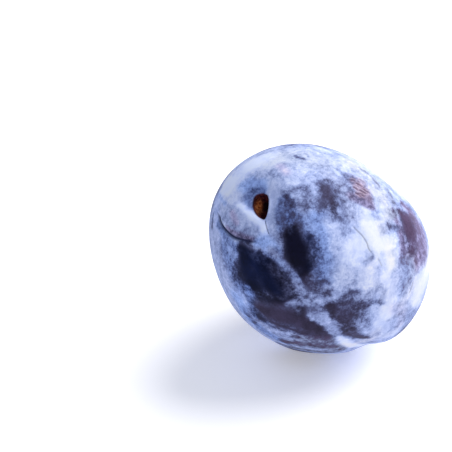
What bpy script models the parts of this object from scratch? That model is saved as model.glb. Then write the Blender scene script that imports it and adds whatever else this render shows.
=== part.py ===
"""A quetsche: one whole fruit, picked, with its stem cavity open.

Metres, +Z up. The origin is the centre of the small flat spot the fruit rests
on. Its long axis lies in the XZ plane, with the stem end up towards -X and
the blossom end down towards +X. The suture runs down the -Y flank.
"""
import math

import bmesh
import bpy
from mathutils import Matrix, Vector

for old in list(bpy.data.objects):
    bpy.data.objects.remove(old, do_unlink=True)

# ---------------------------------------------------------------- dimensions
MM = 0.001

# the oval body, half sizes in mm
HALF_LENGTH = 24.2        # stem end to blossom end
HALF_BELLY = 20.6         # in the plane of the suture
HALF_CHEEK = 19.9         # from cheek to cheek
TAPER = -0.06             # below 0: fuller towards the blossom end
BELLY_SHIFT = 0.35        # the belly bows out on the suture side
TIP_POINT = 0.6           # the blossom end comes to a blunt point
TIP_SPREAD = 0.35         # radians

# how the fruit lies
STEM_RISE = 51.7          # degrees of the stem end above the horizontal
SUTURE_TURN = 57.8        # degrees from the lowest flank round to the suture
FLAT_DEPTH = 0.75         # mm pressed flat at the lowest flank

# the shallow groove of the suture: degrees from the stem end, depth and half
# width in mm; it is deepest in the notch it makes near the blossom end
SUTURE = ((8, 0.0, 2.4), (20, 0.5, 2.4), (50, 0.7, 2.6), (90, 0.7, 2.8),
          (120, 1.2, 3.6), (150, 0.85, 3.6), (180, 0.0, 3.6))

# the stem cavity: a round funnel with the scar of the stem at its bottom, mm
CAVITY_X = 1.1            # its centre from the long axis, towards the suture
CAVITY_Y = -0.8
FUNNEL_DEPTH = 1.9
FUNNEL_RADIUS = 3.9
SCAR_DEPTH = 1.7
SCAR_RADIUS = 1.9
SCAR_EDGE = 0.6

# gentle swells and hollows of a fruit that grew unevenly:
# degrees from the stem end, degrees round from the suture, spread in degrees,
# height in mm (below 0 is a hollow)
SWELLS = {
    "beside_the_notch": (122, -19, 28, -1.1),
    "under_side": (105, -46, 28, -0.6),
    "stem_side_flat": (70, -87, 28, -0.3),
    "back_shoulder": (49, -136, 28, 0.7),
    "upper_cheek": (75, 134, 28, -0.5),
    "cheek_hollow": (95, 111, 28, -0.4),
    "cheek_dimple": (92, 115, 14, -0.5),
    "cheek_swell": (114, 87, 28, 1.05),
    "lower_cheek": (128, 56, 28, 0.7),
    "blossom_shoulder": (132, 17, 28, 0.9),
}
# the flank it grew heavy on, a little to the stem's side of straight below
FOOT_TOWARDS = (-0.2, 0.1, -1.0)
FOOT_SPREAD = 20.0
FOOT_HEIGHT = 1.0

# mesh fineness
SEGMENTS_ROUND = 64
SEGMENTS_LONG = 54
STEM_FINENESS = 0.45      # below 1: rings closer together at the stem end

SKIN_COLOUR = (0.16, 0.18, 0.36, 1.0)
SKIN_ROUGHNESS = 0.55


# ---------------------------------------------------------------- how it lies
def lying_frame():
    """Columns: towards the suture, across, towards the stem end."""
    rise = math.radians(STEM_RISE)
    stem = Vector((-math.cos(rise), 0.0, math.sin(rise)))
    down = Vector((0.0, 0.0, -1.0))
    flank = (down - stem * down.dot(stem)).normalized()
    across = stem.cross(flank)
    turn = math.radians(SUTURE_TURN)
    suture = flank * math.cos(turn) + across * math.sin(turn)
    side = stem.cross(suture)
    return Matrix((suture, side, stem)).transposed()


# ---------------------------------------------------------------- the surface
def direction(from_stem, from_suture):
    t, p = math.radians(from_stem), math.radians(from_suture)
    return Vector((math.sin(t) * math.cos(p), math.sin(t) * math.sin(p),
                   math.cos(t)))


def swell_list(frame):
    rows = [(direction(t, p), math.radians(w), h)
            for t, p, w, h in SWELLS.values()]
    foot = frame.transposed() @ Vector(FOOT_TOWARDS).normalized()
    rows.append((foot, math.radians(FOOT_SPREAD), FOOT_HEIGHT))
    return rows


def smooth(edge0, edge1, x):
    k = min(max((x - edge0) / (edge1 - edge0), 0.0), 1.0)
    return k * k * (3.0 - 2.0 * k)


def suture_section(t):
    """Depth and half width of the groove at t from the stem end, mm."""
    at = math.degrees(t)
    for (a, deep_a, wide_a), (b, deep_b, wide_b) in zip(SUTURE, SUTURE[1:]):
        if a <= at <= b:
            k = smooth(a, b, at)
            return deep_a + k * (deep_b - deep_a), wide_a + k * (wide_b - wide_a)
    return 0.0, SUTURE[0][2]


def skin_point(t, phi, swells):
    """A point of the skin, in mm, at t from the stem end, phi from the suture."""
    st, ct = math.sin(t), math.cos(t)
    full = 1.0 + TAPER * ct
    point = Vector((
        HALF_BELLY * st * math.cos(phi) * full + BELLY_SHIFT * st * st,
        HALF_CHEEK * st * math.sin(phi) * full,
        HALF_LENGTH * ct
        - TIP_POINT * math.exp(-((math.pi - t) / TIP_SPREAD) ** 2)))
    out = point.normalized()
    grow = 1.0
    for towards, spread, height in swells:
        angle = math.acos(max(-1.0, min(1.0, out.dot(towards))))
        grow += height / 20.0 * math.exp(-(angle / spread) ** 2)
    point *= grow

    # the groove, pressed straight in
    around = math.hypot(point.x, point.y)
    turn = (phi + math.pi) % (2.0 * math.pi) - math.pi
    deep, wide = suture_section(t)
    point -= out * (deep * math.exp(-(turn * around / wide) ** 2))

    # the stem cavity, sunk along the long axis
    if t < math.pi / 2:
        r = math.hypot(point.x - CAVITY_X, point.y - CAVITY_Y)
        point.z -= FUNNEL_DEPTH * math.exp(-(r / FUNNEL_RADIUS) ** 2)
        point.z -= SCAR_DEPTH * (1.0 - smooth(SCAR_RADIUS - SCAR_EDGE,
                                              SCAR_RADIUS + SCAR_EDGE, r))
    return point


# ---------------------------------------------------------------- the fruit
def fruit_mesh(swells):
    """A sphere with its poles at the two ends, drawn out to the skin."""
    bm = bmesh.new()
    bmesh.ops.create_uvsphere(bm, u_segments=SEGMENTS_ROUND,
                              v_segments=SEGMENTS_LONG, radius=1.0)
    for v in bm.verts:
        t = math.acos(max(-1.0, min(1.0, v.co.z)))
        phi = math.atan2(v.co.y, v.co.x) if t not in (0.0, math.pi) else 0.0
        along = t / math.pi
        t = math.pi * (STEM_FINENESS * along
                       + (1.0 - STEM_FINENESS) * along * along)
        v.co = skin_point(t, phi, swells) * MM
    bmesh.ops.recalc_face_normals(bm, faces=bm.faces)
    mesh = bpy.data.meshes.new("fruit")
    bm.to_mesh(mesh)
    bm.free()
    return mesh


def slab(name, low, high):
    """A plain block between two corners, used to cut."""
    bm = bmesh.new()
    bmesh.ops.create_cube(bm, size=1.0)
    size = [b - a for a, b in zip(low, high)]
    middle = [(a + b) / 2 for a, b in zip(low, high)]
    bmesh.ops.scale(bm, vec=size, verts=bm.verts)
    bmesh.ops.translate(bm, vec=middle, verts=bm.verts)
    mesh = bpy.data.meshes.new(name)
    bm.to_mesh(mesh)
    bm.free()
    block = bpy.data.objects.new(name, mesh)
    block.display_type = "WIRE"
    block.hide_render = True
    bpy.context.scene.collection.objects.link(block)
    return block


def rest_spot(mesh, frame):
    """Where the flat spot's centre lies, from the middle of the fruit, metres.

    The spot is where a level plane FLAT_DEPTH above the lowest point meets
    the skin; its centre is midway between the outermost crossings.
    """
    points = [frame @ v.co for v in mesh.vertices]
    level = min(p.z for p in points) + FLAT_DEPTH * MM
    cross_x, cross_y = [], []
    for edge in mesh.edges:
        a, b = (points[i] for i in edge.vertices)
        if (a.z - level) * (b.z - level) < 0.0:
            k = (level - a.z) / (b.z - a.z)
            cross_x.append(a.x + k * (b.x - a.x))
            cross_y.append(a.y + k * (b.y - a.y))
    return Vector(((min(cross_x) + max(cross_x)) / 2,
                   (min(cross_y) + max(cross_y)) / 2, level))


def skin_material():
    mat = bpy.data.materials.new("bloomed_skin")
    mat.use_nodes = True
    shader = mat.node_tree.nodes["Principled BSDF"]
    shader.inputs["Base Color"].default_value = SKIN_COLOUR
    shader.inputs["Roughness"].default_value = SKIN_ROUGHNESS
    shader.inputs["Metallic"].default_value = 0.0
    return mat


def main():
    frame = lying_frame()
    mesh = fruit_mesh(swell_list(frame))
    spot = rest_spot(mesh, frame)
    mesh.shade_smooth()
    mesh.set_sharp_from_angle(angle=math.radians(40.0))
    mesh.materials.append(skin_material())

    fruit = bpy.data.objects.new("fruit", mesh)
    bpy.context.scene.collection.objects.link(fruit)
    place = frame.to_4x4()
    place.translation = -spot
    fruit.matrix_world = place

    wide = 3.0 * HALF_LENGTH * MM
    under = slab("rest_plane_cutter", (-wide, -wide, -wide), (wide, wide, 0.0))
    cut = fruit.modifiers.new("flat_spot", "BOOLEAN")
    cut.operation = "DIFFERENCE"
    cut.solver = "EXACT"
    cut.object = under


main()
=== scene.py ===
import math

import bmesh
import bpy
import numpy as np
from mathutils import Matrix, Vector, noise
from mathutils.bvhtree import BVHTree


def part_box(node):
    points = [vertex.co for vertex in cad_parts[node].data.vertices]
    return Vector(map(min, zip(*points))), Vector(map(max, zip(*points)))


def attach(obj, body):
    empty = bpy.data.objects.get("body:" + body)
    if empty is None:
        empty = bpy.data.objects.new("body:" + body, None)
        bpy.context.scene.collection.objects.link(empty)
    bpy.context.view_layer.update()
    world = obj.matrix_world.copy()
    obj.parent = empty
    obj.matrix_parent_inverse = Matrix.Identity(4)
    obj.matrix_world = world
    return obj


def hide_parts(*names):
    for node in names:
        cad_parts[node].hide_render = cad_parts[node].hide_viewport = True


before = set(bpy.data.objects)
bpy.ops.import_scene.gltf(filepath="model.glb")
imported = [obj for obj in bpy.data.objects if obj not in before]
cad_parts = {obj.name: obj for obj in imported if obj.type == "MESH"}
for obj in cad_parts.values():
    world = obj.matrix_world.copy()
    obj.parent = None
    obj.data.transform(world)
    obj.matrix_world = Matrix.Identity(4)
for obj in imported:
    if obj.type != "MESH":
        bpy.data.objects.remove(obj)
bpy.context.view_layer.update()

MM = 0.001
BOX_LOW, BOX_HIGH = (np.array(c, float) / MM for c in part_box("fruit"))

# ------------------------------------------------------------------ the fruit's form, mm
HALF_LENGTH, HALF_BELLY, HALF_CHEEK = 24.2, 20.6, 19.9
TAPER, BELLY_SHIFT, TIP_POINT, TIP_SPREAD = -0.06, 0.35, 0.6, 0.35
STEM_RISE, SUTURE_TURN = 51.7, 57.8
SUTURE = ((8, 0.0, 2.4), (20, 0.5, 2.4), (50, 0.7, 2.6), (90, 0.7, 2.8),
          (120, 1.2, 3.6), (150, 0.85, 3.6), (180, 0.0, 3.6))
CAVITY = np.array([1.1, -0.8])
SWELLS = ((122, -19, 28, -1.1), (105, -46, 28, -0.6), (70, -87, 28, -0.3),
          (49, -136, 28, 0.7), (75, 134, 28, -0.5), (95, 111, 28, -0.4),
          (92, 115, 14, -0.5), (114, 87, 28, 1.05), (128, 56, 28, 0.7),
          (132, 17, 28, 0.9))
FOOT_TOWARDS, FOOT_SPREAD, FOOT_HEIGHT = (-0.2, 0.1, -1.0), 20.0, 1.0
FLAT_DEPTH = 0.75

# ------------------------------------------------------------------ the camera, mm
AZIMUTH, ELEVATION = math.radians(-37.3), math.radians(33.0)
REACH = 420.0                      # camera to the fruit's middle
PX_PER_MM = 5.1
FOCAL_PX = PX_PER_MM * REACH       # for a picture 452 pixels wide
MIDDLE_PX = (314.46, 248.03)       # where the fruit's middle falls in the picture
BACK = np.array([math.sin(AZIMUTH) * math.cos(ELEVATION),
                 -math.cos(AZIMUTH) * math.cos(ELEVATION), math.sin(ELEVATION)])
RIGHT = np.array([math.cos(AZIMUTH), math.sin(AZIMUTH), 0.0])
UP = np.cross(BACK, RIGHT)


def unit(v):
    v = np.asarray(v, float)
    return v / np.linalg.norm(v, axis=-1, keepdims=True)


def smooth(a, b, x):
    k = np.clip((x - a) / (b - a), 0.0, 1.0)
    return k * k * (3.0 - 2.0 * k)


def lying_frame():
    """Columns: towards the suture, across, towards the stem end."""
    rise, turn = math.radians(STEM_RISE), math.radians(SUTURE_TURN)
    stem = np.array([-math.cos(rise), 0.0, math.sin(rise)])
    down = np.array([0.0, 0.0, -1.0])
    flank = unit(down - stem * (down @ stem))
    across = np.cross(stem, flank)
    suture = flank * math.cos(turn) + across * math.sin(turn)
    return np.stack([suture, np.cross(stem, suture), stem], 1)


LIE = lying_frame()


def towards(from_stem, from_suture):
    t, p = math.radians(from_stem), math.radians(from_suture)
    return np.array([math.sin(t) * math.cos(p), math.sin(t) * math.sin(p),
                     math.cos(t)])


def body(dirs):
    """The plain oval with its swells and its groove, mm, in its own frame."""
    t = np.arccos(np.clip(dirs[:, 2], -1, 1))
    phi = np.arctan2(dirs[:, 1], dirs[:, 0])
    st, ct = np.sin(t), np.cos(t)
    full = 1.0 + TAPER * ct
    p = np.stack([HALF_BELLY * st * np.cos(phi) * full + BELLY_SHIFT * st * st,
                  HALF_CHEEK * st * np.sin(phi) * full,
                  HALF_LENGTH * ct
                  - TIP_POINT * np.exp(-((math.pi - t) / TIP_SPREAD) ** 2)], 1)
    out = unit(p)
    grow = np.ones(len(p))
    rows = [(towards(a, b), math.radians(w), h) for a, b, w, h in SWELLS]
    rows.append((LIE.T @ unit(FOOT_TOWARDS), math.radians(FOOT_SPREAD), FOOT_HEIGHT))
    for d, spread, height in rows:
        angle = np.arccos(np.clip(out @ d, -1, 1))
        grow += height / 20.0 * np.exp(-(angle / spread) ** 2)
    p *= grow[:, None]
    # the groove of the suture
    at = np.degrees(t)
    deep, wide = np.zeros(len(p)), np.full(len(p), SUTURE[0][2])
    for (a, da, wa), (b, db, wb) in zip(SUTURE, SUTURE[1:]):
        m = (at >= a) & (at <= b)
        k = smooth(a, b, at[m])
        deep[m], wide[m] = da + k * (db - da), wa + k * (wb - wa)
    off = phi * np.hypot(p[:, 0], p[:, 1])
    return p - out * (deep * np.exp(-(off / wide) ** 2))[:, None]


# ------------------------------------------------------------------ where it lies
def middle_of_fruit():
    """The fruit's middle in the shared frame, so that its box is the fixed box."""
    n = 60
    u = np.linspace(-1, 1, n)
    a, b = np.meshgrid(u, u)
    one = np.ones_like(a)
    faces = [np.stack(s, -1).reshape(-1, 3) for s in (
        (a, b, one), (a, b, -one), (a, one, b), (a, -one, b), (one, a, b), (-one, a, b))]
    p = body(unit(np.tan(np.concatenate(faces) * math.pi / 4))) @ LIE.T
    low, high = p.min(0), p.max(0)
    mid = (BOX_LOW + BOX_HIGH) / 2 - (low + high) / 2
    return np.array([mid[0], mid[1], BOX_HIGH[2] - high[2]])


MIDDLE = middle_of_fruit()
SIDE_MM = (MIDDLE_PX[0] - 226) / FOCAL_PX * REACH
RISE_MM = -(MIDDLE_PX[1] - 226) / FOCAL_PX * REACH
EYE = MIDDLE + BACK * REACH - RIGHT * SIDE_MM - UP * RISE_MM


def to_picture(p):
    """Where points fall in the 452 x 452 picture, in pixels."""
    q = p - EYE
    deep = -(q @ BACK)
    return np.stack([226 + FOCAL_PX * (q @ RIGHT) / deep,
                     226 - FOCAL_PX * (q @ UP) / deep], 1)


def sight(x, y):
    return unit(-BACK + RIGHT * (x - 226) / FOCAL_PX - UP * (y - 226) / FOCAL_PX)


# ------------------------------------------------------------------ named marks
# Every mark is a stroke over the skin: places in the picture's pixels, which are
# carried to the skin along the line of sight, with a half width in pixels. The
# half width is a real width on the fruit: 5.1 pixels are one millimetre. The
# bloom is 0 where it is rubbed off and 1 where it lies thickest.
# bare skin, and what a thin bloom's colour leans to
NAVY, INK, BROWN, PLUM, SLATE, MAUVE = "navy", "ink", "brown", "plum", "slate", "mauve"
SKINS = {
    NAVY: (0.001, 0.004, 0.026), INK: (0.004, 0.004, 0.016), BROWN: (0.031, 0.025, 0.056),
    PLUM: (0.066, 0.040, 0.092), SLATE: (0.060, 0.062, 0.130), MAUVE: (0.190, 0.140, 0.245),
}
PLAIN, BLUE, SKY, ROSE, GREY, PALE, DUSKY = "plain", "blue", "sky", "rose", "grey", "pale", "dusky"
CASTS = {
    PLAIN: (1.0, 1.0, 1.0), BLUE: (0.82, 0.96, 1.12), SKY: (0.96, 1.0, 1.10),
    ROSE: (1.20, 0.90, 0.88), GREY: (1.04, 1.0, 0.88), PALE: (1.03, 1.0, 0.95), DUSKY: (1.24, 0.85, 0.73),
}

# how thick the bloom lies, laid one over the other, with painted shade and painted highlights where noted: name, bloom,
# how much of it takes, softness of its edge, skin, cast, stroke
BLOOM = (
    # broad tones
    ("shoulder", 0.78, 0.9, 0.6, SLATE, GREY, ((270, 158, 14), (300, 156, 17), (330, 162, 14), (352, 166, 9))),
    ("stem_side_shoulder", 0.98, 0.9, 0.5, SLATE, SKY, ((264, 158, 10), (246, 168, 13), (231, 182, 12), (222, 194, 9))),
    ("left_flank", 0.76, 0.9, 0.5, SLATE, SKY, ((217, 198, 8), (216, 209, 8), (216, 222, 6))),
    ("below_the_lip", 0.56, 0.9, 0.4, SLATE, PLAIN, ((228, 213, 9), (236, 223, 11), (248, 230, 9), (258, 236, 6))),
    # the stem's funnel: partly thinner bloom, partly painted shade in the hollow, deepest on its floor
    ("funnel", 0.58, 1.0, 0.5, SLATE, BLUE, ((247, 188, 5.5), (254, 185, 8), (263, 185, 6), (249, 198, 4.5), (250.5, 206, 3.6))),
    ("funnel_floor", 0.36, 0.9, 0.5, NAVY, BLUE, ((251, 193, 3), (257, 190.5, 3.6), (264, 190, 3))),
    ("cavity_shoulder", 0.66, 0.9, 0.5, SLATE, PLAIN, ((274, 186, 5), (274, 197, 4.5), (274, 208, 4.5))),
    ("right_of_crease", 0.51, 1.0, 0.5, SLATE, PLAIN, ((272, 214, 5), (274, 226, 6), (274, 238, 7), (276, 248, 5))),
    ("cheek", 0.90, 0.9, 0.5, SLATE, PLAIN, ((344, 232, 13), (350, 242, 17), (352, 254, 17), (350, 266, 13))),
    ("cheek_left", 0.56, 0.9, 0.5, SLATE, BLUE, ((318, 212, 9), (322, 226, 8), (325, 244, 6), (325, 262, 7), (328, 276, 8))),
    ("cheek_left_high", 0.66, 0.8, 0.5, SLATE, PLAIN, ((328, 222, 6), (333, 234, 8), (335, 246, 6))),
    ("cheek_low", 0.78, 0.8, 0.5, SLATE, PALE, ((340, 276, 11), (354, 279, 13), (368, 284, 11))),
    ("tip_flank", 0.90, 0.9, 0.5, SLATE, PLAIN, ((384, 280, 10), (388, 296, 12), (386, 312, 13), (376, 326, 10))),
    ("tip_foot", 0.80, 0.9, 0.5, SLATE, PALE, ((400, 326, 6), (388, 335, 6), (374, 339, 6), (358, 343, 4))),
    ("low_left", 0.54, 1.0, 0.5, SLATE, BLUE, ((238, 300, 10), (246, 314, 9), (256, 325, 8), (268, 334, 8), (284, 342, 7))),
    ("hidden_left", 0.38, 0.9, 0.6, NAVY, BLUE, ((224, 246, 7), (229, 260, 10), (234, 274, 10), (240, 288, 9))),
    ("under_edge", 0.26, 0.95, 0.5, PLUM, GREY, ((280, 344, 5), (290, 347, 8), (300, 349, 10), (312, 351, 10), (326, 352, 10), (340, 350, 7))),
    # thickest
    ("frost", 0.98, 1.0, 0.6, SLATE, GREY, ((364, 214, 8), (368, 226, 12), (376, 238, 14), (388, 248, 12), (392, 262, 8))),
    ("frost_low", 0.92, 0.8, 0.6, SLATE, PALE, ((372, 262, 8), (368, 272, 6))),
    ("back_of_the_cheek", 0.82, 0.9, 0.5, SLATE, GREY, ((376, 192, 6), (380, 202, 8), (386, 214, 5), (384, 196, 6))),
    ("back_rim", 0.86, 0.8, 0.9, SLATE, GREY, ((352, 160, 8), (368, 168, 9), (384, 180, 10), (398, 192, 9))),
    ("tip_side", 0.98, 1.0, 0.6, SLATE, GREY, ((432, 254, 12), (428, 268, 15), (423, 284, 16), (417, 300, 12))),
    ("tip_corner", 0.50, 0.9, 0.7, PLUM, PLAIN, ((418, 310, 5), (412, 321, 6), (402, 332, 4))),
    # the lip: thick bloom, painted lighter as a highlight on its raised ridge
    ("lip", 1.0, 0.95, 0.4, SLATE, SKY, ((233, 200, 2.4), (242, 207.5, 3.4), (249, 214, 4), (256, 219.5, 4.2), (262, 225, 3.8), (264, 234, 3.4), (267, 244, 4.4))),
    ("lip_head", 0.76, 0.8, 0.6, SLATE, PLAIN, ((225, 196, 4), (230, 198, 4), (236, 202, 3))),
    # thicker bloom with a painted highlight along the raised ridge at the mouth's right edge
    ("mouth_edge", 0.84, 0.7, 0.5, SLATE, PLAIN, ((269.8, 194, 1.2), (270.4, 202, 1.3), (269.6, 212, 1.2))),
    # by the cavity
    ("speckled_arc", 0.56, 0.8, 0.6, SLATE, PLAIN, ((258, 176, 3), (266, 172.5, 4), (274, 174, 4), (281, 177, 4))),
    # painted shade along the funnel's upper-left rim
    ("arc_left", 0.58, 0.7, 0.6, SLATE, BLUE, ((240, 188, 3), (244, 183, 3.5), (252, 180.5, 3.5))),
    ("cavity_side", 0.50, 0.7, 0.6, SLATE, ROSE, ((232, 213, 3), (234, 218, 3.5), (237, 223, 3))),
    ("cavity_foot", 0.50, 0.7, 0.6, SLATE, PLAIN, ((240, 230, 3), (250, 234, 3.6), (258, 238, 3))),
    ("above_the_crack", 0.40, 0.9, 0.6, SLATE, ROSE, ((226, 227.5, 2), (233, 233, 2.6), (242, 237, 3), (252, 239, 2.4))),
    ("left_smear", 0.22, 0.9, 0.5, NAVY, BLUE, ((213, 214, 1.6), (212.3, 220, 2.2), (212, 226, 1.8))),
    ("left_dots", 0.56, 0.7, 0.6, SLATE, BLUE, ((219, 194, 2), (225, 204, 2.5))),
    ("under_the_crack", 0.38, 0.9, 0.5, NAVY, BLUE, ((217, 224, 3), (222, 233, 4), (230, 242, 5), (236, 249, 6))),
    # the dark belly, stem side of the suture
    ("belly_dark", 0.00, 1.0, 0.40, NAVY, PLAIN, ((251, 259, 8), (258, 262, 14), (264, 271, 18), (272, 282, 16), (278, 292, 13))),
    ("belly_dark_left", 0.02, 1.0, 0.55, NAVY, BLUE, ((243, 255, 7), (245, 264, 12.5), (249, 277, 15), (255, 290, 12))),
    ("belly_dark_head", 0.12, 0.9, 0.5, NAVY, BLUE, ((241, 249, 3), (248, 252, 4), (256, 256, 5.5), (266, 260, 6), (275, 264, 5))),
    ("belly_dark_right", 0.16, 0.9, 0.6, INK, PLAIN, ((275, 266, 7), (283, 277, 8), (289, 288, 7), (294, 296, 6))),
    ("belt", 0.12, 0.9, 0.6, INK, PLAIN, ((258, 294, 6), (269, 300, 8), (284, 301, 8), (296, 302, 6), (304, 308, 4))),
    ("left_blue", 0.36, 1.0, 0.45, NAVY, BLUE, ((248, 288, 4), (250, 298, 5.5), (252, 309, 5), (255, 316, 4))),
    ("low_patch", 0.03, 1.0, 0.35, BROWN, PLAIN, ((261, 309, 8), (271, 314, 11), (284, 316, 14), (297, 319, 14), (308, 326, 10), (319, 331, 8), (330, 336, 6))),
    ("low_patch_foot", 0.10, 1.0, 0.5, BROWN, PLAIN, ((262, 318, 4), (276, 325, 5), (292, 330, 5), (307, 334.5, 5.5), (319, 338, 5))),
    ("low_patch_edge", 0.18, 0.8, 0.6, INK, BLUE, ((256, 311, 4), (262, 319, 4.4), (272, 326, 4))),
    ("low_streak", 0.40, 0.9, 0.7, SLATE, PLAIN, ((270, 324, 2.2), (280, 328.5, 2.8), (290, 331.5, 2.2), (298, 334, 1.4))),
    ("under_patch", 0.21, 1.0, 0.6, PLUM, GREY, ((286, 342, 5), (298, 344, 9), (310, 345, 9), (324, 347, 8), (336, 347, 6))),
    ("under_patch_top", 0.28, 0.9, 0.7, PLUM, GREY, ((296, 337, 4.5), (305, 339, 6), (316, 340.5, 7), (327, 341, 7), (332, 341, 5))),
    ("blob", 0.50, 0.9, 0.5, SLATE, PLAIN, ((287, 304.5, 2.6), (292, 303, 3.4), (298, 303, 2.8))),
    # the dark streak from the cavity to the belly, cheek side of the suture
    ("rosy_smear", 0.78, 0.5, 0.6, SLATE, ROSE, ((280, 166, 4), (286, 172, 4))),
    ("streak_head", 0.60, 0.7, 0.5, SLATE, PLAIN, ((284, 181, 3), (285, 187, 4))),
    ("streak", 0.25, 1.0, 0.50, BROWN, BLUE, ((286, 197, 4), (287, 203, 7), (288, 211, 8), (289, 220, 9), (290, 229, 9.5))),
    ("streak_left", 0.30, 0.8, 0.5, SLATE, BLUE, ((280, 200, 3), (279, 214, 4), (281, 228, 4))),
    ("streak_edge", 0.30, 0.8, 0.6, SLATE, BLUE, ((299, 216, 5), (303, 226, 6), (306, 233, 6))),
    ("upper_belly", 0.00, 1.0, 0.32, INK, PLAIN, ((292, 236, 11), (295, 247, 14.5), (298, 258, 15), (302, 268, 14), (307, 279, 9))),
    ("upper_belly_edge", 0.13, 0.9, 0.6, NAVY, BLUE, ((310, 237, 6.5), (315, 246, 7.5), (317, 257, 6.5), (316, 268, 6.5))),
    ("upper_belly_side", 0.34, 0.8, 0.6, SLATE, BLUE, ((320, 262, 5), (320, 272, 6), (318, 282, 6))),
    ("upper_belly_foot", 0.22, 0.9, 0.5, BROWN, PLAIN, ((309, 283, 6.5), (314, 290, 7), (321, 294, 6), (328, 293, 4))),
    # the cheek
    ("between", 0.42, 0.9, 0.6, SLATE, PLAIN, ((302, 188, 6), (307, 196, 8), (308, 206, 7))),
    ("cheek_top", 0.13, 1.0, 0.45, BROWN, PLAIN, ((326, 187, 8), (328, 194, 10), (330, 201, 9.5), (332, 208, 5.5))),
    ("cheek_top_arm", 0.30, 0.9, 0.5, SLATE, PLAIN, ((316, 183.5, 3), (323, 182, 4), (330, 181.5, 3))),
    ("cheek_top_left", 0.22, 0.9, 0.5, SLATE, PLAIN, ((320, 200, 4.5), (319, 208, 4))),
    ("cheek_top_edge", 0.30, 0.85, 0.6, SLATE, PLAIN, ((341, 182, 6), (346, 191, 8), (344, 204, 7), (342, 215, 7))),
    ("wrinkled", 0.45, 1.0, 0.35, MAUVE, DUSKY, ((354, 180, 7), (360, 186, 10.5), (364, 192, 11), (367, 200, 8))),
    ("wrinkled_tail", 0.38, 0.9, 0.5, SLATE, PLAIN, ((338, 169.5, 2), (344, 174, 4), (351, 178, 6))),
    ("wrinkled_foot", 0.32, 0.9, 0.5, SLATE, ROSE, ((352, 196, 5), (361, 200.5, 5), (371, 206, 3.6))),
    ("mottle_high", 0.54, 0.8, 0.6, SLATE, PLAIN, ((352, 212, 9), (350, 222, 8), (344, 231, 5))),
    ("mottle_left", 0.44, 0.7, 0.6, SLATE, BLUE, ((312, 220, 6), (318, 230, 6), (320, 240, 5))),
    ("back_streak", 0.42, 0.9, 0.5, SLATE, GREY, ((359, 167.5, 1.6), (367, 172.5, 2.6), (375, 180, 3.2), (379, 186, 2))),
    ("rim_streak", 0.42, 0.9, 0.5, SLATE, GREY, ((385, 187, 2), (390, 194, 3), (394, 202, 3.5))),
    ("rim_haze", 0.34, 1.0, 0.45, MAUVE, ROSE, ((403, 204, 4), (411, 213, 7), (417, 223, 10), (422, 235, 13), (424, 248, 12), (418, 262, 8))),
    ("rim_between", 0.28, 0.9, 0.5, MAUVE, ROSE, ((411, 217, 5), (417, 227, 8), (420, 239, 9), (421, 250, 8))),
    ("rim_patch", 0.06, 1.0, 0.55, PLUM, ROSE, ((402, 214, 6), (407, 222, 10.5), (411, 232, 13), (413, 241, 12), (412, 250, 8))),
    ("rim_patch_left", 0.22, 0.9, 0.5, PLUM, ROSE, ((394, 212, 3), (398, 224, 4), (402, 238, 4.5), (404, 250, 5.5), (404, 258, 6))),
    ("rim_blot", 0.34, 0.9, 0.5, SLATE, PLAIN, ((388, 224, 2), (392, 227.5, 3.4), (398, 228, 3.4))),
    ("rim_specks", 0.44, 0.8, 0.6, SLATE, GREY, ((390, 211, 3), (392, 217, 3), (397, 212, 3.6))),
    ("rim_patch_foot", 0.43, 0.9, 0.5, MAUVE, PLAIN, ((404, 262, 8), (407, 274, 9), (406, 284, 7), (404, 292, 5))),
    ("far_patch", 0.11, 1.0, 0.38, BROWN, PLAIN, ((332, 307, 8), (341, 309, 11), (351, 310, 11), (360, 307, 8), (368, 304.5, 4.5))),
    ("far_patch_tail", 0.46, 0.9, 0.5, SLATE, PLAIN, ((370, 302, 3.4), (378, 302, 2.8), (384, 303, 2))),
    ("far_patch_crest", 0.40, 0.9, 0.6, SLATE, PLAIN, ((344, 297, 3), (351, 293, 4), (357, 292, 3.6))),
    ("far_patch_foot", 0.14, 1.0, 0.38, BROWN, PLAIN, ((338, 315, 8), (345, 323, 10), (350, 331, 10), (357, 336, 8), (366, 338, 4))),
    ("far_patch_side", 0.36, 0.8, 0.6, SLATE, PLAIN, ((364, 312, 5), (365, 320, 5), (369, 329, 4))),
    ("tip_specks", 0.62, 0.8, 0.6, SLATE, PALE, ((376, 285, 3.5), (384, 292, 4), (381, 299, 3))),
    ("tip_streak", 0.60, 0.8, 0.6, SLATE, PALE, ((388, 321, 2), (398, 315, 2.6), (406, 310, 2.6), (411, 307, 2.2))),
    ("shoulder_mark", 0.36, 0.9, 0.5, SLATE, PLAIN, ((295, 155.5, 1.8), (299, 157.5, 2.8), (303, 158.5, 2))),
    ("shoulder_dot", 0.44, 0.9, 0.5, SLATE, PLAIN, ((308, 156, 1.4),)),
    # the bloom that stays in the suture's groove
    ("suture_head", 0.64, 1.0, 0.5, SLATE, BLUE, ((257, 243, 4), (263, 242, 7.5), (270, 247, 7.5), (276, 253, 6))),
    ("suture_upper", 0.43, 1.0, 0.6, SLATE, PLAIN, ((271, 250, 4), (280, 259, 3.4), (289, 270, 3.2), (297, 281, 3.6), (303, 291, 4.6))),
    ("suture_middle", 0.54, 1.0, 0.5, SLATE, PLAIN, ((302, 290, 5), (307, 298, 6), (312, 306, 6.5), (316, 314, 6.5))),
    ("suture_lower", 0.66, 1.0, 0.5, SLATE, PLAIN, ((313, 319, 3), (320, 320, 4.5), (328, 327, 4.5), (336, 334, 4.5))),
    ("suture_foot", 0.94, 1.0, 0.5, SLATE, PLAIN, ((339, 338, 3.5), (346, 342, 5), (353, 345, 5), (361, 346, 4))),
)
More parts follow.
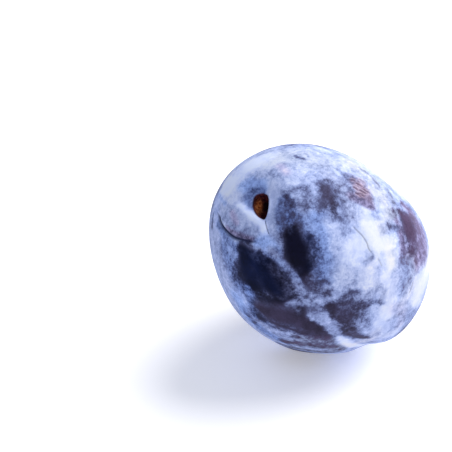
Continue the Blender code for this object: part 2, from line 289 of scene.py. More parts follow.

# where the bloom is a little thicker (above 0) or thinner (below 0) than that; the touches low on the left and under
# the fruit are painted shade
TOUCHES = (
    ("top_outline", 0.22, ((276, 145, 4), (290, 143, 5), (310, 145, 6), (326, 150, 6))),
    ("shoulder_hollow", -0.13, ((284, 153, 4), (294, 157, 6), (302, 160, 4))),
    ("shoulder_foot", -0.07, ((316, 164, 6), (326, 166, 6))),
    ("above_cheek_top", 0.11, ((328, 175, 5), (338, 177, 5))),
    ("cavity_crest", 0.09, ((259, 164, 5), (267, 168, 6))),
    ("beside_the_funnel", 0.16, ((226, 180, 5), (231, 187, 7), (240, 193, 5))),
    # painted shade on the funnel's wall
    ("funnel_wall", -0.17, ((248, 198, 4), (250, 204, 3.6), (246, 209, 3))),
    ("cavity_top_right", 0.09, ((268, 181, 5), (271, 189, 5))),
    ("lip_foot", 0.12, ((241, 220, 4), (250, 224, 5), (257, 232, 5))),
    ("crease_side", 0.12, ((268, 213, 3.6), (269, 221, 4), (271, 230, 4))),
    ("streak_top", -0.14, ((289, 188, 4), (291, 196, 5))),
    ("beside_streak_top", 0.12, ((297, 181, 5), (300, 186, 4))),
    ("streak_right", -0.09, ((299, 202, 5), (307, 206, 5))),
    ("under_cheek_top", 0.13, ((331, 206, 6), (336, 210, 4))),
    ("cheek_top_foot", -0.10, ((322, 215, 5), (333, 217, 5))),
    ("cheek_top_right", -0.12, ((337, 189, 5), (340, 194, 4))),
    ("rim_haze_left", -0.11, ((378, 191, 5), (386, 197, 6), (393, 203, 4))),
    ("rim_outline", -0.10, ((407, 204, 4), (413, 210, 4))),
    ("rim_patch_neck", -0.08, ((401, 219, 4), (403, 229, 5))),
    ("rim_patch_low", 0.05, ((413, 246, 5), (418, 253, 5), (420, 262, 4))),
    ("rim_foot", -0.13, ((409, 260, 4), (411, 267, 4))),
    ("cheek_centre_left", -0.09, ((338, 224, 6), (346, 231, 7))),
    ("cheek_glint", 0.08, ((354, 242, 8), (362, 246, 6))),
    ("scratch_side", -0.13, ((368, 254, 4), (372, 257, 3))),
    ("scratch_smear", -0.09, ((363, 262, 3), (368, 259, 3.4), (373, 256, 3))),
    ("belly_edge_right", 0.10, ((313, 243, 4), (315, 254, 5))),
    ("tip_glint", 0.09, ((412, 274, 5), (415, 286, 6), (410, 298, 6))),
    ("frost_foot", 0.10, ((388, 270, 5), (372, 279, 5))),
    ("cheek_low_left", -0.10, ((347, 267, 6), (352, 277, 6), (354, 290, 7))),
    ("belly_inner", -0.10, ((245, 260, 5), (250, 270, 6))),
    ("suture_side", -0.14, ((306, 286, 4), (306, 296, 4), (312, 305, 5), (322, 310, 5))),
    ("cheek_left_foot", -0.14, ((322, 279, 5), (330, 285, 5))),
    ("far_patch_top", 0.11, ((353, 302, 5), (362, 304, 4))),
    ("belt_low", -0.12, ((256, 301, 4), (270, 303, 5), (284, 304, 4))),
    # painted shadow of the neighbouring fruits, which are not built, on the lower-left edge
    ("painted_shadow_low_left_edge", -0.10, ((248, 314, 5), (256, 325, 6), (268, 337, 6))),
    ("foot_glow", 0.14, ((341, 344, 3), (352, 346, 5), (368, 344, 5))),
    ("far_patch_left", 0.10, ((338, 323, 4), (344, 330, 5))),
    ("far_patch_right", -0.08, ((352, 317, 4), (360, 319, 4))),
    ("tip_flank_high", 0.11, ((384, 309, 5), (390, 318, 6), (386, 328, 5))),
    ("tip_corner_low", -0.08, ((404, 317, 4), (406, 326, 4))),
    ("stem_side_rim", 0.10, ((218, 202, 5), (221, 192, 5), (232, 172, 5), (244, 161, 6), (250, 170, 5))),
    ("crack_end", -0.24, ((243, 245, 3.5), (251, 247, 4))),
    ("suture_side_high", -0.12, ((279, 251, 4), (284, 257, 4))),
    ("cheek_top_left_side", -0.07, ((300, 207, 4), (308, 208, 4))),
    ("wrinkled_under", -0.12, ((350, 200, 5), (360, 208, 5), (364, 215, 5))),
    ("wrinkled_over", -0.12, ((346, 174, 4), (354, 177, 4))),
    ("cheek_middle", -0.10, ((340, 221, 5), (348, 230, 6), (352, 236, 4))),
    ("rim_blot_left", -0.14, ((382, 229, 4), (391, 231, 4))),
    ("rim_gap", 0.11, ((391, 212, 4), (396, 220, 4))),
    ("frost_edge", -0.11, ((394, 252, 4), (396, 258, 4))),
    ("tip_flank_top", -0.13, ((377, 268, 4), (378, 278, 5), (376, 288, 5))),
    ("far_patch_over", -0.11, ((346, 293, 5), (358, 294, 5), (370, 294, 4))),
    ("far_patch_beside", -0.10, ((360, 317, 4), (374, 318, 5))),
    ("suture_right", -0.12, ((305, 309, 4), (318, 311, 4))),
    ("suture_right_low", -0.10, ((329, 326, 4), (334, 334, 4))),
    ("rim_edge", 0.07, ((417, 228, 4), (421, 242, 4), (420, 262, 4))),
    ("rim_outer", 0.10, ((423, 232, 4), (425, 244, 4), (423, 256, 4))),
    ("tip_side_foot", 0.06, ((395, 299, 4), (402, 303, 4))),
    ("left_of_the_lip", 0.10, ((225, 184, 5), (228, 196, 5), (226, 208, 5))),
    ("left_bright", 0.12, ((219, 222, 3), (222, 228, 3))),
    ("above_the_crack_low", -0.08, ((234, 222, 4), (236, 236, 4))),
    ("beside_the_lip_foot", 0.10, ((242, 229, 4), (246, 233, 3))),
    ("arc_dark", -0.10, ((272, 175, 3), (282, 176, 4))),
    ("arc_over", 0.07, ((274, 152, 5), (280, 160, 6))),
    ("cheek_top_light", 0.13, ((312, 192, 4), (315, 201, 5), (314, 214, 4))),
    ("cheek_top_right_light", 0.12, ((338, 200, 4), (346, 198, 3))),
    ("tail_light", 0.12, ((338, 172, 4), (346, 173, 3))),
    ("suture_head_right", 0.08, ((289, 224, 4), (291, 232, 4))),
    ("rim_dots_light", 0.13, ((384, 222, 4), (380, 214, 4))),
    ("rim_patch_glow", 0.08, ((403, 238, 5), (410, 246, 6), (418, 236, 4))),
    ("belt_over", -0.10, ((276, 303, 4), (290, 302, 4))),
    ("belly_right_high", -0.12, ((312, 236, 4), (316, 243, 4))),
    ("belly_right_low", -0.10, ((322, 259, 4), (327, 267, 5), (333, 272, 4))),
    ("belly_right_foot", 0.10, ((313, 277, 4), (322, 279, 4))),
    ("far_patch_gap", 0.10, ((319, 293, 4), (327, 295, 4))),
    ("belly_glow", 0.07, ((289, 269, 4), (300, 271, 5))),
    ("suture_upper_dark", -0.10, ((272, 259, 4), (276, 269, 4))),
    ("streak_left_dark", -0.10, ((281, 216, 3), (283, 223, 4))),
    ("cheek_left_edge", -0.08, ((338, 253, 5), (340, 238, 5), (350, 237, 4))),
    ("cheek_top_under", 0.10, ((331, 214, 4), (338, 222, 5))),
    ("frost_line", 0.12, ((377, 253, 4), (379, 262, 4))),
    ("between_foot", -0.10, ((304, 204, 4), (314, 205, 4), (324, 205, 4))),
    ("between_top", -0.11, ((296, 190, 4), (308, 191, 5))),
    ("cheek_top_over", 0.12, ((330, 183, 4), (338, 180, 5), (339, 174, 4))),
    ("wrinkled_left", -0.08, ((346, 182, 3), (349, 188, 4))),
    ("shoulder_low", -0.08, ((328, 165, 4), (340, 166, 4))),
    ("low_patch_left", -0.12, ((258, 316, 4), (265, 326, 5))),
    ("suture_right_high", -0.15, ((304, 307, 3), (308, 310, 4))),
    ("streak_head_left", -0.10, ((282, 187, 3), (281, 193, 3))),
    ("streak_light", 0.09, ((297, 197, 4), (306, 204, 5))),
    ("cheek_band", 0.10, ((313, 228, 4), (330, 230, 5), (346, 229, 4))),
    ("lip_low_dark", -0.10, ((257, 230, 3), (258, 234, 3))),
    ("tip_side_glow", 0.07, ((419, 254, 4), (420, 266, 4))),
    ("cheek_top_bridge", -0.08, ((322, 174, 4), (336, 174, 4))),
    ("rim_dots_dark", -0.10, ((388, 213, 3), (395, 214, 3))),
    ("rim_outline_high", -0.08, ((410, 208, 3), (417, 215, 3), (425, 230, 3))),
    ("cheek_foot_dark", -0.12, ((324, 285, 4), (331, 291, 4))),
    ("suture_glow", 0.09, ((275, 253, 3), (283, 269, 4))),
    ("tip_light", 0.08, ((362, 286, 5), (372, 286, 4))),
    ("tip_dark", -0.08, ((371, 302, 3), (380, 303, 3))),
    ("far_patch_low", -0.13, ((336, 335, 4), (347, 335, 4))),
    ("far_patch_low_light", 0.09, ((346, 325, 4), (356, 325, 4))),
    ("mouth_right", 0.09, ((265.5, 195, 3), (267, 206, 3), (266, 215, 3))),
    ("suture_head_light", 0.10, ((273, 228, 3), (282, 229, 4), (291, 228, 4))),
    ("between_head", 0.11, ((289, 181, 3.5), (299, 183, 3.5))),
    ("under_cheek_top_dark", -0.10, ((331, 215, 3.5), (339, 222, 4))),
    ("belly_side_light", 0.11, ((316, 231, 3.5), (322, 247, 4), (323, 262, 4), (324, 276, 4))),
    ("wrinkled_foot_light", 0.10, ((346, 199, 3.5), (355, 206, 4), (364, 207, 3.5))),
    ("rim_neck_light", 0.11, ((396, 207, 3.5), (403, 214, 4))),
    ("far_patch_high_light", 0.11, ((332, 301, 3), (352, 309, 4), (356, 313, 4))),
    ("belt_over_light", 0.08, ((249, 295, 4), (260, 295, 4), (269, 293, 4))),
    ("blob_foot_light", 0.10, ((296, 310, 3), (300, 313, 3))),
    ("low_patch_light", 0.08, ((314, 332, 3), (322, 334, 3))),
    ("wrinkled_dark", -0.07, ((354, 190, 4), (362, 196, 4), (371, 198, 3))),
    ("rim_haze_dark", -0.10, ((379, 199, 4), (387, 205, 4))),
    ("frost_edge_dark", -0.09, ((370, 254, 3), (393, 254, 3))),
    ("between_low", -0.08, ((307, 199, 4), (316, 200, 4))),
    ("far_patch_crown", -0.11, ((345, 301, 4), (354, 303, 4))),
    # painted shadow of the neighbouring fruits low on the left
    ("painted_shadow_low_left_top", -0.08, ((250, 310, 4), (252, 320, 4), (262, 322, 4))),
    ("low_patch_rim", -0.10, ((266, 326, 4), (276, 328, 4))),
    # painted shade on the fruit's underside, where it meets the floor and the neighbouring fruits shade it
    ("painted_shade_under_left", -0.12, ((282, 342, 5), (290, 345, 5))),
    ("painted_shade_under_middle", -0.07, ((298, 343, 5), (303, 346, 5))),
    ("painted_shade_under_right", -0.07, ((330, 343, 4), (334, 346, 4))),
    ("rim_patch_bright", 0.08, ((409, 244, 3), (408, 252, 4))),
    ("cheek_low_dim", -0.07, ((354, 269, 3), (356, 280, 4))),
    ("suture_foot_dim", -0.08, ((313, 301, 3), (316, 320, 4))),
    # painted shadow of the neighbouring fruits low on the left
    ("painted_shadow_low_left", -0.10, ((282, 333, 4), (284, 342, 4))),
)

# where the bloom's colour leans further: name, red, green and blue, stroke
TINTS = (
    ("back_rim", (1.07, 1.01, 0.92), ((350, 162, 8), (362, 172, 10), (374, 184, 11), (386, 200, 12), (390, 214, 10), (382, 226, 8))),
    ("right_side", (1.03, 1.0, 0.96), ((392, 244, 8), (394, 260, 10), (394, 274, 12), (390, 290, 11), (386, 304, 9))),
    ("right_rim", (1.10, 1.03, 0.94), ((410, 258, 7), (414, 268, 8), (413, 280, 9), (409, 292, 8), (404, 302, 7))),
    ("tip_corner", (1.10, 1.02, 0.97), ((394, 308, 6), (402, 314, 7), (400, 324, 6))),
    ("frost_foot", (1.02, 1.0, 0.98), ((372, 262, 8), (378, 276, 8), (372, 292, 7), (362, 298, 6))),
    ("foot", (1.06, 1.0, 0.93), ((340, 346, 5), (352, 345, 7), (366, 340, 7), (376, 334, 7))),
    ("upper_cheek", (1.04, 1.0, 0.95), ((328, 176, 7), (340, 184, 8), (350, 200, 8), (352, 216, 7))),
    ("suture_upper", (0.94, 1.0, 1.07), ((280, 262, 5), (290, 274, 6), (302, 278, 5))),
    ("streak_low", (0.92, 1.0, 1.08), ((290, 222, 5), (291, 232, 5))),
    ("belly_foot", (0.92, 1.0, 1.08), ((244, 284, 6), (256, 294, 7), (262, 286, 6))),
)

# fine dark lines: name, how dark, half width in mm, depth in mm, places; the crease's darkness is painted shade in its
# fold
LINES = (
    ("crack", 1.0, 0.44, 0.34, ((217.2, 212.5), (218.6, 217), (219.6, 221.5), (221.7, 226), (225.7, 231), (229.7, 234.7), (234, 237.4), (239.5, 239.3), (245, 240.6), (250.5, 241.6), (256, 241.8))),
    # painted shade: the crease is darkened along its fold
    ("crease", 0.65, 0.12, 0.12, ((265.2, 220), (266, 224.5), (267.3, 229.5), (269.8, 236))),
    ("scratch", 0.54, 0.18, 0.05, ((352.3, 225), (356.7, 230), (362.6, 236), (367, 243), (369, 249), (374, 255))),
    ("scratch_trail", 0.24, 0.24, 0.02, ((374.5, 255.5), (369, 259), (362, 263))),
    ("scratch_end", 0.34, 0.20, 0.03, ((377.8, 258), (380, 262), (382.4, 267))),
    ("top_line", 0.5, 0.12, 0.05, ((284.7, 144.9), (291, 145.5), (296.7, 147.6))),
    ("rim_line", 0.6, 0.13, 0.05, ((413.5, 281), (411.8, 287), (409.2, 294))),
)

# the mouth of the scar, its lip, and the wrinkles of the wrinkled patch
MOUTH = ((262.6, 192.4), (266.6, 194.2), (268.3, 199.0), (268.2, 205), (267.4, 210.5), (266.0, 215.6), (263.6, 218.9), (260.0, 218.0), (256.2, 215.2), (253.2, 210.8), (251.5, 205.4), (251.9, 199.8), (253.6, 195.4), (257.6, 192.9))
LIP = ((234.5, 201), (242.5, 209.5), (249.7, 216.2), (257, 221.6), (262.4, 226.4), (265.6, 234), (268.8, 242))
WRINKLES = (((353, 181.5), (359, 184.5), (365, 188.5)), ((356, 177.8), (362, 180.6), (367.5, 184.6)), ((351.5, 185.6), (356, 188.2), (359.5, 191.2)), ((358.5, 189.2), (363, 191.8), (368, 194.6)), ((349, 179.5), (353.5, 180.2), (357.5, 182.4)), ((360.5, 187), (365, 190.4), (371, 193.2)), ((356.5, 193), (361, 194.2), (366.5, 197.6)), ((354, 191.5), (358.5, 194.4), (362.5, 197.2)))


# ------------------------------------------------------------------ the mesh's grid
GRID = 96                  # faces along each side of the six-sided ball
STEM_FINENESS = 0.55       # grid closer together at the stem end


def sphere_dirs(cube):
    d = unit(np.tan(cube * math.pi / 4))
    t, phi = np.arccos(np.clip(d[:, 2], -1, 1)), np.arctan2(d[:, 1], d[:, 0])
    t = t * (STEM_FINENESS + (1 - STEM_FINENESS) * smooth(0.0, 1.2, t))
    d = np.stack([np.sin(t) * np.cos(phi), np.sin(t) * np.sin(phi), np.cos(t)], 1)
    # the grid's pole is the middle of the cavity
    pole = unit(np.array([CAVITY[0] / HALF_BELLY, CAVITY[1] / HALF_CHEEK, 1.0]))
    axis = np.cross([0, 0, 1.0], pole)
    s = np.linalg.norm(axis)
    axis, c = axis / s, pole[2]
    return d * c + np.cross(axis, d) * s + np.outer(d @ axis, axis) * (1 - c)


def sink(p, depth):
    """Pushes points of the fruit's own frame in along its long axis."""
    q = p.copy()
    q[:, 2] -= depth
    return q


def funnelled(dirs):
    """The skin with the stem's funnel, without its scar, in the fruit's frame."""
    p = body(dirs)
    r = np.hypot(p[:, 0] - CAVITY[0], p[:, 1] - CAVITY[1])
    top = p[:, 2] > 0
    return sink(p, np.where(top, 1.9 * np.exp(-(r / 3.9) ** 2), 0.0))


def in_place(p):
    return p @ LIE.T + MIDDLE


def nearest(p, line):
    """Distance of each point to a chain of points, and how far along it, 0 to 1."""
    line = np.asarray(line, float)
    best, where = np.full(len(p), 1e9), np.zeros(len(p))
    if len(line) == 1:
        return np.linalg.norm(p - line[0], axis=1), where
    legs = len(line) - 1
    for i, (a, b) in enumerate(zip(line, line[1:])):
        ab = b - a
        k = np.clip(((p - a) @ ab) / (ab @ ab), 0, 1)
        d = np.linalg.norm(p - a - k[:, None] * ab, axis=1)
        m = d < best
        best[m], where[m] = d[m], (i + k[m]) / legs
    return best, where


def eased(points, per=6):
    """A smooth chain through the given points (Catmull-Rom)."""
    p = [np.asarray(q, float) for q in points]
    if len(p) < 3:
        return np.array(p)
    p = [2 * p[0] - p[1]] + p + [2 * p[-1] - p[-2]]
    out = []
    for a, b, c, d in zip(p, p[1:], p[2:], p[3:]):
        for k in np.arange(per) / per:
            out.append(0.5 * (2 * b + (c - a) * k + (2 * a - 5 * b + 4 * c - d) * k ** 2
                              + (3 * b - a - 3 * c + d) * k ** 3))
    return np.array(out + [p[-2]])


class Skin:
    """Carries places of the picture to the plain skin, in mm."""

    def __init__(self):
        bm = bmesh.new()
        bmesh.ops.create_cube(bm, size=2.0)
        bmesh.ops.subdivide_edges(bm, edges=bm.edges[:], cuts=47, use_grid_fill=True)
        cube = np.array([v.co[:] for v in bm.verts])
        spots = in_place(funnelled(sphere_dirs(cube)))
        for v, s in zip(bm.verts, spots):
            v.co = Vector(s)
        bm.normal_update()
        self.tree = BVHTree.FromBMesh(bm)
        bm.free()

    def at(self, x, y):
        hit = self.tree.ray_cast(Vector(EYE), Vector(sight(x, y)))[0]
        if hit is None:
            # just past the outline: the nearest skin to the line of sight
            d = sight(x, y)
            start = EYE + d * (REACH - 5.0)
            hit = self.tree.find_nearest(Vector(start))[0]
        return np.array(hit)

    def chain(self, places, per=6):
        return np.array([self.at(x, y) for x, y in eased(places, per)])


SKIN = Skin()


def grid_mesh():
    """The ball's grid on the cube, with its bake map, finer along the marks."""
    bm = bmesh.new()
    bmesh.ops.create_cube(bm, size=2.0)
    bmesh.ops.subdivide_edges(bm, edges=bm.edges[:], cuts=GRID - 1, use_grid_fill=True)
    uv = bm.loops.layers.uv.new("OFBake")
    for f in bm.faces:
        c = f.calc_center_median()
        axis = max(range(3), key=lambda i: abs(c[i]))
        col, row = axis, 0 if c[axis] > 0 else 1
        a, b = [i for i in range(3) if i != axis]
        for loop in f.loops:
            co = loop.vert.co
            u, v = (co[a] + 1) / 2, (co[b] + 1) / 2
            if (c[axis] > 0) == (axis == 1):
                u = 1 - u
            loop[uv].uv = ((col + 0.02 + 0.96 * u) / 3, (row + 0.02 + 0.96 * v) / 2)

    lines = [SKIN.chain(places) for _, _, _, _, places in LINES]
    wrinkles = [SKIN.chain(w) for w in WRINKLES]
    mouth = SKIN.chain(MOUTH + MOUTH[:1])
    lip = SKIN.chain(LIP)

    def finer(chains, within):
        faces = bm.faces[:]
        centres = np.array([f.calc_center_median()[:] for f in faces])
        p = in_place(funnelled(sphere_dirs(centres / np.abs(centres).max(1, keepdims=True))))
        near = np.full(len(p), 1e9)
        for chain in chains:
            near = np.minimum(near, nearest(p, chain)[0])
        picked = [f for f, d in zip(faces, near) if d < within]
        edges = list({e for f in picked for e in f.edges})
        bmesh.ops.subdivide_edges(bm, edges=edges, cuts=1, use_grid_fill=True)

    finer([mouth], 1.6)
    finer(lines[:2] + [mouth], 0.7)
    finer(lines + wrinkles, 0.45)
    bmesh.ops.triangulate(bm, faces=[f for f in bm.faces if len(f.verts) > 4])
    return bm, lines, wrinkles, mouth, lip


# ------------------------------------------------------------------ the fruit
def signed_inside(px, outline):
    """Pixels inside a closed outline (below 0 outside)."""
    best, inside = np.full(len(px), 1e9), np.zeros(len(px), bool)
    for a, b in zip(outline, np.roll(outline, -1, 0)):
        ab = b - a
        k = np.clip(((px - a) @ ab) / (ab @ ab), 0, 1)
        best = np.minimum(best, np.linalg.norm(px - a - k[:, None] * ab, axis=1))
        crosses = (a[1] > px[:, 1]) != (b[1] > px[:, 1])
        side = (b[0] - a[0]) * (px[:, 1] - a[1]) / np.where(b[1] == a[1], 1e-9, b[1] - a[1]) + a[0]
        inside ^= crosses & (px[:, 0] < side)
    return np.where(inside, best, -best)


def rough(p, size, seed, octaves=3):
    """Fractal noise about 0, with features about size mm across."""
    shift = Vector((seed * 17.3, seed * 5.1, seed * 9.7))
    return np.array([noise.fractal(Vector(q) / size + shift, 1.0, 2.1, octaves) for q in p])


def make_fruit():
    bm, lines, wrinkles, mouth, lip = grid_mesh()
    cube = np.array([v.co[:] for v in bm.verts])
    cube /= np.abs(cube).max(1, keepdims=True)
    dirs = sphere_dirs(cube)
    own = funnelled(dirs)
    p = in_place(own)

    def put(points):
        for v, q in zip(bm.verts, points):
            v.co = Vector(q)
        bm.normal_update()

    put(p)
    normal = np.array([v.normal[:] for v in bm.verts])
    if (normal * (p - MIDDLE)).sum() < 0:
        bmesh.ops.reverse_faces(bm, faces=bm.faces[:])
        normal = -normal
    plain = p.copy()

    # an uneven skin, always a little inside the plain form
    wave = rough(p, 7.0, 1.0, 2)
    ripple = rough(p, 1.9, 2.0, 2)
    p -= normal * (0.06 * (0.5 + 0.5 * np.clip(wave, -1, 1)) + 0.012 * (1 + np.clip(ripple, -1, 1)))[:, None]

    # the raised lips of the cavity
    d, k = nearest(plain, lip)
    ends = smooth(0, 0.2, k) * (1 - smooth(0.75, 1.0, k))
    p += normal * (0.30 * ends * np.exp(-(d / 0.95) ** 2))[:, None]
    right_lip = SKIN.chain(((268.6, 191), (270.2, 197), (270.3, 205), (269.2, 212), (267.2, 219), (267.8, 226)))
    d, k = nearest(plain, right_lip)
    ends = smooth(0, 0.25, k) * (1 - smooth(0.7, 1.0, k))
    p += normal * (0.22 * ends * np.exp(-(d / 0.50) ** 2))[:, None]

    # the scar's mouth, sunk along the long axis
    px = to_picture(plain)
    near = np.linalg.norm(plain - mouth.mean(0), axis=1) < 6.0
    inside = np.full(len(p), -50.0)
    inside[near] = signed_inside(px[near], eased(MOUTH + MOUTH[:1])[:-1])
    scar = smooth(-0.5, 0.7, inside)
    floor = rough(plain[near], 0.8, 4.0, 3)
    depth = 0.30 * smooth(-2.2, 0.4, inside) + 2.9 * smooth(0.0, 4.6, inside)
    depth[near] += 0.30 * floor * smooth(1.5, 4.0, inside[near])
    p -= LIE[:, 2] * depth[:, None]
    seen = to_picture(p) - np.array([258.6, 206.6])
    # painted shade: the scar's right inner wall, turned from the key light, is painted almost black
    scar_shaded_wall = smooth(0.0, 1.5, inside) * smooth(2.2, 6.0, seen[:, 0] + 0.10 * seen[:, 1]) * smooth(-7.0, -2.0, seen[:, 1]) * (1 - 0.75 * smooth(3.0, 7.5, seen[:, 1]))
    # painted light: an amber pool where the light falls on the scar's lower-left inner wall
    scar_lit_wall = smooth(0.2, 2.2, inside) * np.exp(-((seen[:, 0] / 3.9) ** 2 + (seen[:, 1] / 6.6) ** 2) ** 1.4)

    # lines and wrinkles
    dark = np.zeros(len(p))
    for (name, strength, half, deep, _), chain in zip(LINES, lines):
        d, k = nearest(plain, chain)
        ends = smooth(0, 0.12, k) * (1 - smooth(0.85, 1.0, k))
        width = half * (0.45 + 0.55 * ends)
        p -= normal * (deep * (0.3 + 0.7 * ends) * np.exp(-(d / width) ** 2))[:, None]
        dark = np.maximum(dark, strength * (0.35 + 0.65 * ends) * np.exp(-(d / (width * 0.85)) ** 2))
    # painted shade in the wrinkles' folds and a painted highlight on their ridges, beside the shaped folds
    wrinkle_fold_shade, wrinkle_ridge_highlight = np.zeros(len(p)), np.zeros(len(p))
    for chain in wrinkles:
        d, k = nearest(plain, chain)
        ends = smooth(0, 0.3, k) * (1 - smooth(0.7, 1.0, k))
        p -= normal * (ends * (0.18 * np.exp(-(d / 0.17) ** 2) - 0.10 * np.exp(-((d - 0.36) / 0.16) ** 2)))[:, None]
        wrinkle_fold_shade = np.maximum(wrinkle_fold_shade, ends * np.exp(-(d / 0.15) ** 2))
        wrinkle_ridge_highlight = np.maximum(wrinkle_ridge_highlight, ends * np.exp(-((d - 0.34) / 0.14) ** 2))
    wrinkle_ridge_highlight *= 1 - wrinkle_fold_shade

    # the bloom and what shows through it, with wandering edges
    wander = np.array([noise.noise_vector(Vector(q) / 3.4)[:] for q in plain]) * 0.55
    wander += np.array([noise.noise_vector(Vector(q) / 1.3 + Vector((7, 3, 5)))[:] for q in plain]) * 0.30
    wandered = plain + wander

    def stray(name, places):
        """The skin's points, wandering less for the small and the straight marks."""
        if name.startswith("suture"):
            return plain + 0.25 * wander
        return plain + min(1.0, max(0.35, np.mean([s[2] for s in places]) / 8.0)) * wander
    level = np.full(len(p), 0.66)
    skin = np.tile(SKINS[SLATE], (len(p), 1))
    cast = np.ones((len(p), 3))

    def lay(f, bloom, tone, lean):
        nonlocal level, skin, cast
        level = level + f * (bloom - level)
        skin = skin + f[:, None] * (np.array(SKINS[tone]) - skin)
        cast = cast + f[:, None] * (np.array(CASTS[lean]) - cast)

    # beyond what the picture shows, rubbed patches of the same kind and size
    hidden = 1 - smooth(-0.15, 0.26, (normal * unit(EYE - plain)).sum(1))
    stretch = np.array([1.0, 1.0, 0.62])
    own = (wandered - MIDDLE) @ LIE * stretch
    drift = rough(own, 12.0, 6.0, 2) + 0.12 * rough(own, 3.2, 5.0, 2)
    lay(hidden, 0.80, SLATE, PLAIN)
    lay(hidden * smooth(-0.12, 0.28, drift), 0.42, SLATE, PLAIN)
    lay(hidden * smooth(0.06, 0.46, drift), 0.06, BROWN, PLAIN)
    tone = rough(own, 17.0, 8.0, 2)
    lay(hidden * smooth(0.0, 0.3, tone) * smooth(0.12, 0.35, drift), 0.02, INK, PLAIN)
    lay(hidden * 0.7 * smooth(0.08, 0.35, rough(own, 6.0, 9.0, 3)), 0.50, SLATE, BLUE)
    for name, bloom, takes, edge, tone, lean, places in BLOOM:
        xy = [s[:2] for s in places]
        chain = np.array([SKIN.at(x, y) for x, y in (eased(xy) if len(xy) > 2 else xy)])
        d, k = nearest(stray(name, places), chain)
        radii = np.interp(k, np.linspace(0, 1, len(places)), [s[2] for s in places]) / PX_PER_MM
        soft = min(0.95, edge + 0.25)
        lay(takes * (1 - smooth(1 - soft, 1 + soft, d / radii)), bloom, tone, lean)
    for name, change, places in TOUCHES:
        chain = np.array([SKIN.at(x, y) for x, y in eased([s[:2] for s in places])])
        d, k = nearest(wandered, chain)
        radii = np.interp(k, np.linspace(0, 1, len(places)), [s[2] for s in places]) / PX_PER_MM
        level = level + change * (1 - smooth(0.3, 1.7, d / radii))
    for name, tint, places in TINTS:
        chain = np.array([SKIN.at(x, y) for x, y in eased([s[:2] for s in places])])
        d, k = nearest(wandered, chain)
        radii = np.interp(k, np.linspace(0, 1, len(places)), [s[2] for s in places]) / PX_PER_MM
        cast = cast * (1 + (1 - smooth(0.3, 1.7, d / radii))[:, None] * (np.array(tint) - 1))
    level = np.clip(level, 0.0, 1.0)

    # the flat spot
    p[:, 2] = 0.5 * (p[:, 2] + np.sqrt(p[:, 2] ** 2 + 0.15 ** 2))

    put(p * MM)
    mesh = bpy.data.meshes.new("plum")
    bm.to_mesh(mesh)
    bm.free()
    mesh.shade_smooth()
    calm = 1 - smooth(3.0, 6.5, np.linalg.norm(plain - mouth.mean(0), axis=1))
    for name, values in (("level", level), ("calm", calm), ("scar_lit_wall", scar_lit_wall), ("scar_shaded_wall", scar_shaded_wall), ("scar", scar), ("line", dark), ("wrinkle_fold_shade", wrinkle_fold_shade), ("wrinkle_ridge_highlight", wrinkle_ridge_highlight)):
        mesh.attributes.new(name, "FLOAT", "POINT").data.foreach_set("value", values.astype(np.float32))
    for name, values in (("skin", skin), ("cast", cast)):
        mesh.attributes.new(name, "FLOAT_VECTOR", "POINT").data.foreach_set("vector", values.astype(np.float32).ravel())
    plum = bpy.data.objects.new("plum", mesh)
    bpy.context.scene.collection.objects.link(plum)
    return plum


# ------------------------------------------------------------------ the skin's finish
class Nodes:
    """Short hand for a material's nodes."""

    def __init__(self, name):
        self.material = bpy.data.materials.new(name)
        self.material.use_nodes = True
        self.tree = self.material.node_tree
        self.shader = self.tree.nodes["Principled BSDF"]

    def put(self, socket, value):
        if isinstance(value, bpy.types.NodeSocket):
            self.tree.links.new(value, socket)
        elif value is not None:
            socket.default_value = value

    def node(self, kind, **settings):
        made = self.tree.nodes.new(kind)
        for key, value in settings.items():
            setattr(made, key, value)
        return made

    def math(self, how, a, b=None, c=None, clamp=False):
        n = self.node("ShaderNodeMath", operation=how, use_clamp=clamp)
        for socket, value in zip(n.inputs, (a, b, c)):
            self.put(socket, value)
        return n.outputs[0]

    def step(self, low, high, x):
        n = self.node("ShaderNodeMapRange", interpolation_type="SMOOTHSTEP")
        for socket, value in zip(n.inputs, (x, low, high, 0.0, 1.0)):
            self.put(socket, value)
        return n.outputs[0]

    def mix(self, k, a, b):
        n = self.node("ShaderNodeMix", data_type="RGBA", clamp_factor=True)
        self.put(n.inputs[0], k)
        for socket, value in ((n.inputs[6], a), (n.inputs[7], b)):
            if isinstance(value, tuple) and len(value) == 3:
                value = value + (1.0,)
            self.put(socket, value)
        return n.outputs[2]

    def attribute(self, name):
        return self.node("ShaderNodeAttribute", attribute_name=name)

    def noise(self, where, size_mm, detail=4.0, rough=0.6, distort=0.0, at=(0, 0, 0)):
        if any(at):
            m = self.node("ShaderNodeVectorMath", operation="ADD")
            self.put(m.inputs[0], where)
            m.inputs[1].default_value = at
            where = m.outputs[0]
        n = self.node("ShaderNodeTexNoise")
        self.put(n.inputs["Vector"], where)
        n.inputs["Scale"].default_value = 1000.0 / size_mm
        n.inputs["Detail"].default_value = detail
        n.inputs["Roughness"].default_value = rough
        n.inputs["Distortion"].default_value = distort
        return n.outputs["Fac"]

    def ramp(self, k, stops):
        n = self.node("ShaderNodeValToRGB")
        self.put(n.inputs[0], k)
        e = n.color_ramp.elements
        while len(e) < len(stops):
            e.new(0.5)
        for spot, (at, colour) in zip(e, stops):
            spot.position, spot.color = at, colour + (1.0,)
        return n.outputs[0]


